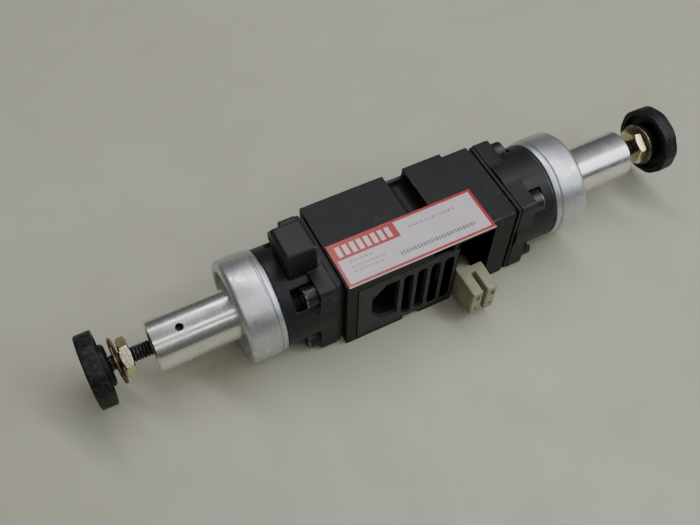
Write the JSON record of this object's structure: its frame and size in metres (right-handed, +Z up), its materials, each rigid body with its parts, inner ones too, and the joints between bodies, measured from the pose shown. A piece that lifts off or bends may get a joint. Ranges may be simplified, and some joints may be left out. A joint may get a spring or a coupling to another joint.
{
  "type": "pneumatic pressure regulator",
  "caption": "Two-ended sandwich pressure regulator: ported block, aluminium spring bonnets, adjusting screws with lock nuts and knobs.",
  "frame": {"origin": "middle of the block's underside", "axes": "+X along the regulator axis from the left knob to the right knob, +Z up with the label on top, the front port face looks towards -Y"},
  "size_m": [0.2644, 0.0561, 0.055],
  "materials": {
    "black_casting": "satin black paint on a casting",
    "label": "printed film",
    "grey_rubber": "moulded",
    "cream_nylon": "moulded nylon",
    "contact_brass": "plated",
    "wire_insulation": "insulated",
    "black_plate": "black",
    "black_rubber": "moulded",
    "black_steel": "black oxide",
    "bright_aluminium": "turned",
    "brass": "turned",
    "spring_steel": "drawn wire",
    "zinc_steel": "zinc plated",
    "black_plastic": "moulded",
    "dull_steel": "worn",
    "yellow_zinc": "yellow zinc plated"
  },
  "bodies": {
    "housing": {"body_block": "black_casting", "label_plate": "label", "front_gasket": "grey_rubber", "rear_gasket": "grey_rubber", "connector_housing": "cream_nylon", "connector_contacts": "contact_brass", "rear_socket": "cream_nylon", "pass_wires": "wire_insulation", "left_end_cap": "black_casting", "left_cap_plate": "black_plate", "left_cap_gasket": "black_rubber", "left_cap_screws": "black_steel", "left_bonnet": "bright_aluminium", "left_seat": "brass", "left_seat_oring": "black_rubber", "left_poppet_spring": "spring_steel", "left_spring": "spring_steel", "right_end_cap": "black_casting", "right_cap_plate": "black_plate", "right_cap_gasket": "black_rubber", "right_cap_screws": "black_steel", "right_bonnet": "bright_aluminium", "right_seat": "brass", "right_seat_oring": "black_rubber", "right_poppet_spring": "spring_steel", "right_spring": "spring_steel"},
    "left_button": {"left_spring_button": "zinc_steel"},
    "left_knob": {"left_adjusting_screw": "black_steel", "left_knob": "black_plastic", "left_knob_insert": "brass"},
    "left_washer": {"left_washer": "dull_steel"},
    "left_nut": {"left_lock_nut": "yellow_zinc"},
    "left_piston": {"left_piston": "brass", "left_piston_seal": "black_rubber"},
    "left_poppet": {"left_poppet": "brass", "left_poppet_face": "black_rubber"},
    "right_button": {"right_spring_button": "zinc_steel"},
    "right_knob": {"right_adjusting_screw": "black_steel", "right_knob": "black_plastic", "right_knob_insert": "brass"},
    "right_washer": {"right_washer": "dull_steel"},
    "right_nut": {"right_lock_nut": "yellow_zinc"},
    "right_piston": {"right_piston": "brass", "right_piston_seal": "black_rubber"},
    "right_poppet": {"right_poppet": "brass", "right_poppet_face": "black_rubber"}
  },
  "joints": [
    {"name": "left_adjust_slide", "type": "slide", "parent": "housing", "child": "left_button", "axis": [1, 0, 0], "range_m": [-0.00254, 0.00381], "deforming": ["left_spring"]},
    {"name": "left_knob_turn", "type": "hinge", "parent": "left_button", "child": "left_knob", "pos_m": [-0.11, 0, 0.022], "axis": [1, 0, 0], "range_deg": [-721, 1081]},
    {"name": "left_nut_slide", "type": "slide", "parent": "left_knob", "child": "left_washer", "axis": [1, 0, 0], "range_m": [-0.00127, 0.00254]},
    {"name": "left_nut_turn", "type": "hinge", "parent": "left_washer", "child": "left_nut", "pos_m": [-0.12, 0, 0.022], "axis": [1, 0, 0], "range_deg": [-361, 721]},
    {"name": "left_piston_slide", "type": "slide", "parent": "housing", "child": "left_piston", "axis": [1, 0, 0], "range_m": [0, 0.0012], "stiffness_N_per_m": 1500},
    {"name": "left_poppet_slide", "type": "slide", "parent": "housing", "child": "left_poppet", "axis": [1, 0, 0], "range_m": [0, 0.0012], "deforming": ["left_poppet_spring"]},
    {"name": "right_adjust_slide", "type": "slide", "parent": "housing", "child": "right_button", "axis": [-1, 0, 0], "range_m": [-0.00254, 0.00381], "deforming": ["right_spring"]},
    {"name": "right_knob_turn", "type": "hinge", "parent": "right_button", "child": "right_knob", "pos_m": [0.11, 0, 0.022], "axis": [-1, 0, 0], "range_deg": [-721, 1081]},
    {"name": "right_nut_slide", "type": "slide", "parent": "right_knob", "child": "right_washer", "axis": [-1, 0, 0], "range_m": [0, 0.00254]},
    {"name": "right_nut_turn", "type": "hinge", "parent": "right_washer", "child": "right_nut", "pos_m": [0.12, 0, 0.022], "axis": [-1, 0, 0], "range_deg": [0, 721]},
    {"name": "right_piston_slide", "type": "slide", "parent": "housing", "child": "right_piston", "axis": [-1, 0, 0], "range_m": [0, 0.0012], "stiffness_N_per_m": 1500},
    {"name": "right_poppet_slide", "type": "slide", "parent": "housing", "child": "right_poppet", "axis": [-1, 0, 0], "range_m": [0, 0.0012], "deforming": ["right_poppet_spring"]}
  ],
  "couplings": [
    {"joint": "left_knob_turn", "follows": "left_adjust_slide", "rad_per_m": 4947.4},
    {"joint": "left_nut_turn", "follows": "left_nut_slide", "rad_per_m": 4947.4},
    {"joint": "left_poppet_slide", "follows": "left_piston_slide", "ratio": 1},
    {"joint": "right_knob_turn", "follows": "right_adjust_slide", "rad_per_m": 4947.4},
    {"joint": "right_nut_turn", "follows": "right_nut_slide", "rad_per_m": 4947.4},
    {"joint": "right_poppet_slide", "follows": "right_piston_slide", "ratio": 1}
  ]
}
